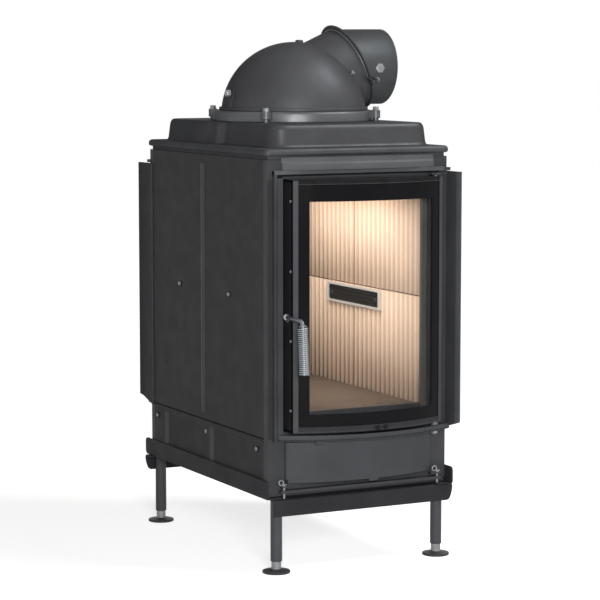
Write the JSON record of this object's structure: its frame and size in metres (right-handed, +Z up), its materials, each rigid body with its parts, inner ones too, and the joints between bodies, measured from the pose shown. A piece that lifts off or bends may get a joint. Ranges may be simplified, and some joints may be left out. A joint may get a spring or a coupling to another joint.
{
  "type": "fireplace insert",
  "caption": "See-through wood-burning fireplace insert: bowed glass doors front and rear, fluted firebox, and a flue dome with a swivelling outlet, on levelling feet.",
  "frame": {"origin": "on the floor, in the middle of the four feet", "axes": "+Z up; -Y out of the front door; +X to the right as seen from the front, the side the flue outlet leaves"},
  "size_m": [0.508, 0.9518, 1.2908],
  "materials": {
    "cast_frame": "matte dark grey cast iron",
    "cast_top": "matte dark grey cast iron",
    "door_iron": "matte dark grey cast iron",
    "sheet_panel": "satin dark grey paint",
    "rail_steel": "satin dark grey paint",
    "outlet_sheet": "satin dark grey paint",
    "foot_steel": "dull steel",
    "zinc_screw": "zinc-plated steel",
    "handle_steel": "dark brushed steel",
    "spring_steel": "bright coiled steel",
    "nozzle_steel": "brushed stainless steel",
    "door_glass": "clear glass with a black printed border",
    "fireclay": "fluted cream fireclay",
    "hearth_stone": "brown fireclay"
  },
  "bodies": {
    "casing": {"front_frame": "cast_frame", "front_lintel": "cast_frame", "front_door_collar": "sheet_panel", "front_apron": "sheet_panel", "front_apron_screw_left": "zinc_screw", "front_apron_screw_right": "zinc_screw", "front_hinge_top": "zinc_screw", "front_hinge_bottom": "zinc_screw", "rear_frame": "cast_frame", "rear_lintel": "cast_frame", "rear_door_collar": "sheet_panel", "rear_apron": "sheet_panel", "rear_apron_screw_left": "zinc_screw", "rear_apron_screw_right": "zinc_screw", "rear_hinge_top": "zinc_screw", "rear_hinge_bottom": "zinc_screw", "side_panel_left": "sheet_panel", "lower_side_left": "sheet_panel", "base_rail_left": "rail_steel", "firebrick_left_near_low": "fireclay", "firebrick_left_near_high": "fireclay", "firebrick_left_far_low": "fireclay", "firebrick_left_far_high": "fireclay", "air_nozzle_left": "nozzle_steel", "side_panel_right": "sheet_panel", "lower_side_right": "sheet_panel", "base_rail_right": "rail_steel", "firebrick_right_near_low": "fireclay", "firebrick_right_near_high": "fireclay", "firebrick_right_far_low": "fireclay", "firebrick_right_far_high": "fireclay", "air_nozzle_right": "nozzle_steel", "leg_frame_front": "rail_steel", "leg_frame_rear": "rail_steel", "base_tray": "cast_frame", "floor_plate": "cast_frame", "hearth": "hearth_stone", "baffle": "fireclay", "top_slab": "cast_top", "hood": "cast_top", "flange_ring": "cast_top"},
    "front_door": {"front_door_leaf": "door_iron", "front_door_glass": "door_glass"},
    "front_handle": {"front_handle": "handle_steel", "front_grip_spring": "spring_steel"},
    "front_air_lever": {"front_air_lever": "cast_frame"},
    "rear_door": {"rear_door_leaf": "door_iron", "rear_door_glass": "door_glass"},
    "rear_handle": {"rear_handle": "handle_steel", "rear_grip_spring": "spring_steel"},
    "rear_air_lever": {"rear_air_lever": "cast_frame"},
    "foot_front_left": {"foot_front_left": "foot_steel"},
    "foot_front_right": {"foot_front_right": "foot_steel"},
    "foot_rear_right": {"foot_rear_right": "foot_steel"},
    "foot_rear_left": {"foot_rear_left": "foot_steel"},
    "dome": {"dome": "cast_top", "swivel_band": "cast_top"},
    "outlet": {"flue_outlet": "outlet_sheet"}
  },
  "joints": [
    {"name": "front_door_hinge", "type": "hinge", "parent": "casing", "child": "front_door", "pos_m": [0.2002, -0.359, 0.6], "axis": [0, 0, 1], "range_deg": [0, 78]},
    {"name": "rear_door_hinge", "type": "hinge", "parent": "casing", "child": "rear_door", "pos_m": [-0.2002, 0.359, 0.6], "axis": [0, 0, 1], "range_deg": [0, 78]},
    {"name": "front_handle_lift", "type": "hinge", "parent": "front_door", "child": "front_handle", "pos_m": [-0.2, -0.361, 0.6096], "axis": [-1, 0, 0], "range_deg": [0, 60]},
    {"name": "rear_handle_lift", "type": "hinge", "parent": "rear_door", "child": "rear_handle", "pos_m": [0.2, 0.361, 0.6096], "axis": [1, 0, 0], "range_deg": [0, 60]},
    {"name": "front_air_slide", "type": "slide", "parent": "casing", "child": "front_air_lever", "axis": [1, 0, 0], "range_m": [-0.03, 0.03]},
    {"name": "rear_air_slide", "type": "slide", "parent": "casing", "child": "rear_air_lever", "axis": [-1, 0, 0], "range_m": [-0.03, 0.03]},
    {"name": "dome_turn", "type": "hinge", "parent": "casing", "child": "dome", "pos_m": [0, 0, 1.08], "axis": [0, 0, 1], "continuous": true},
    {"name": "outlet_turn", "type": "hinge", "parent": "dome", "child": "outlet", "pos_m": [0.15, 0, 1.1868], "axis": [0.9135, 0, 0.4067], "continuous": true},
    {"name": "front_left_levelling", "type": "slide", "parent": "casing", "child": "foot_front_left", "axis": [0, 0, -1], "range_m": [-0.012, 0.04]},
    {"name": "front_right_levelling", "type": "slide", "parent": "casing", "child": "foot_front_right", "axis": [0, 0, -1], "range_m": [-0.012, 0.04]},
    {"name": "rear_right_levelling", "type": "slide", "parent": "casing", "child": "foot_rear_right", "axis": [0, 0, -1], "range_m": [-0.012, 0.04]},
    {"name": "rear_left_levelling", "type": "slide", "parent": "casing", "child": "foot_rear_left", "axis": [0, 0, -1], "range_m": [-0.012, 0.04]}
  ]
}
